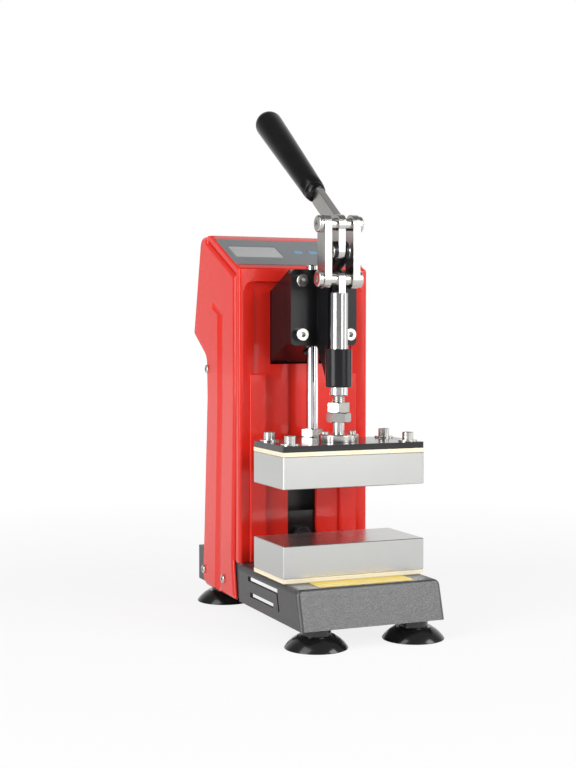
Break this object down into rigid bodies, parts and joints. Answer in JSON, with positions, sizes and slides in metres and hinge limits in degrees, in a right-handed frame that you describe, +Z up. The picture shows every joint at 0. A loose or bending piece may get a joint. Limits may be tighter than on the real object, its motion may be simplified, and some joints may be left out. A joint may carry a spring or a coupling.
{
  "type": "heat press",
  "caption": "Small lever heat press with two flat heated platens, red control housing, keypad, guide rod and suction feet.",
  "frame": {"origin": "centre of the footprint, on the floor under the suction feet", "axes": "+X to the operator's right across the press; +Y from the lever and platens back to the housing; +Z up"},
  "size_m": [0.1302, 0.2532, 0.4298],
  "materials": {
    "housing_red": "gloss powder coat",
    "base_black": "wrinkle coat",
    "casting_black": "satin",
    "gloss_black": "gloss",
    "platen_aluminium": "milled",
    "zinc_steel": "zinc plated",
    "ground_steel": "ground",
    "chrome": "polished",
    "bronze": "sintered bronze",
    "brass_pins": "nickel flashed",
    "insulation_cream": "matt board",
    "heater_mica": "mica sheet",
    "grip_black": "satin",
    "foot_rubber": "gloss",
    "label_yellow": "satin film",
    "overlay_grey": "satin film",
    "display_glass": "clear over grey",
    "key_blue": "satin",
    "board_green": "solder mask",
    "fitting_black": "moulded",
    "relay_grey": "moulded",
    "lead_silicone": "matt"
  },
  "bodies": {
    "press_body": {"base_frame": "base_black", "foot_front_left": "foot_rubber", "foot_front_right": "foot_rubber", "foot_rear_left": "foot_rubber", "foot_rear_right": "foot_rubber", "base_label": "label_yellow", "lower_insulation": "insulation_cream", "lower_platen": "platen_aluminium", "lower_heater": "heater_mica", "lower_screws": "zinc_steel", "column_frame": "casting_black", "press_bracket": "casting_black", "guide_bushing": "bronze", "toggle_body": "casting_black", "body_screws": "zinc_steel", "barrel_bush": "bronze", "pivot_pin": "zinc_steel", "left_cover": "housing_red", "right_cover": "housing_red", "rear_cover": "housing_red", "front_shell": "housing_red", "cover_screws": "zinc_steel", "control_overlay": "overlay_grey", "display_panel": "display_glass", "control_board": "board_green", "lower_gland": "fitting_black", "lower_lead": "lead_silicone", "upper_lead": "lead_silicone", "power_relay": "relay_grey", "mains_inlet": "fitting_black", "inlet_pins": "brass_pins", "switch_frame": "fitting_black"},
    "lever": {"lever_arm": "zinc_steel", "grip": "grip_black", "upper_pin": "zinc_steel", "upper_spacers": "zinc_steel"},
    "links": {"link_left": "zinc_steel", "link_right": "zinc_steel", "link_screws": "zinc_steel"},
    "ram": {"plunger": "ground_steel", "plunger_pin": "zinc_steel", "plunger_spacers": "zinc_steel"},
    "carriage": {"upper_platen": "platen_aluminium", "upper_insulation": "insulation_cream", "upper_heater": "heater_mica", "top_plate": "gloss_black", "plate_washers": "zinc_steel", "plate_screws": "zinc_steel", "swivel_flange": "zinc_steel", "flange_screws": "zinc_steel", "guide_rod": "chrome", "guide_rod_nut": "zinc_steel", "upper_gland": "fitting_black"},
    "spindle": {"adjusting_spindle": "zinc_steel", "jam_nut": "zinc_steel"},
    "set_key": {"key_set": "key_blue"},
    "down_key": {"key_down": "key_blue"},
    "up_key": {"key_up": "key_blue"},
    "mode_key": {"key_mode": "key_blue"},
    "power_rocker": {"rocker": "fitting_black"}
  },
  "joints": [
    {"name": "lever_swing", "type": "hinge", "parent": "press_body", "child": "lever", "pos_m": [0, -0.05377, 0.2997], "axis": [1, 0, 0], "range_deg": [0, 180]},
    {"name": "link_swing", "type": "hinge", "parent": "lever", "child": "links", "pos_m": [0, -0.05377, 0.321], "axis": [-1, 0, 0], "range_deg": [0, 180]},
    {"name": "ram_slide", "type": "slide", "parent": "press_body", "child": "ram", "axis": [0, 0, -1], "range_m": [0, 0.0426], "deforming": ["upper_lead"]},
    {"name": "height_adjust", "type": "slide", "parent": "ram", "child": "carriage", "axis": [0, 0, 1], "range_m": [0, 0.003]},
    {"name": "spindle_turn", "type": "hinge", "parent": "carriage", "child": "spindle", "pos_m": [0, -0.05377, 0.17], "axis": [0, 0, 1], "range_deg": [0, 720]},
    {"name": "set_press", "type": "slide", "parent": "press_body", "child": "set_key", "axis": [0, 0.4147, -0.91], "range_m": [0, 0.0004], "stiffness_N_per_m": 400},
    {"name": "down_press", "type": "slide", "parent": "press_body", "child": "down_key", "axis": [0, 0.4147, -0.91], "range_m": [0, 0.0004], "stiffness_N_per_m": 400},
    {"name": "up_press", "type": "slide", "parent": "press_body", "child": "up_key", "axis": [0, 0.4147, -0.91], "range_m": [0, 0.0004], "stiffness_N_per_m": 400},
    {"name": "mode_press", "type": "slide", "parent": "press_body", "child": "mode_key", "axis": [0, 0.4147, -0.91], "range_m": [0, 0.0004], "stiffness_N_per_m": 400},
    {"name": "power_switch", "type": "hinge", "parent": "press_body", "child": "power_rocker", "pos_m": [-0.021, 0.09928, 0.07392], "axis": [1, 0, 0], "range_deg": [0, 14]}
  ],
  "couplings": [
    {"joint": "ram_slide", "follows": "lever_swing", "m_per_rad": 0.01356},
    {"joint": "link_swing", "follows": "lever_swing", "ratio": 1},
    {"joint": "spindle_turn", "follows": "height_adjust", "rad_per_m": 4188.8}
  ]
}
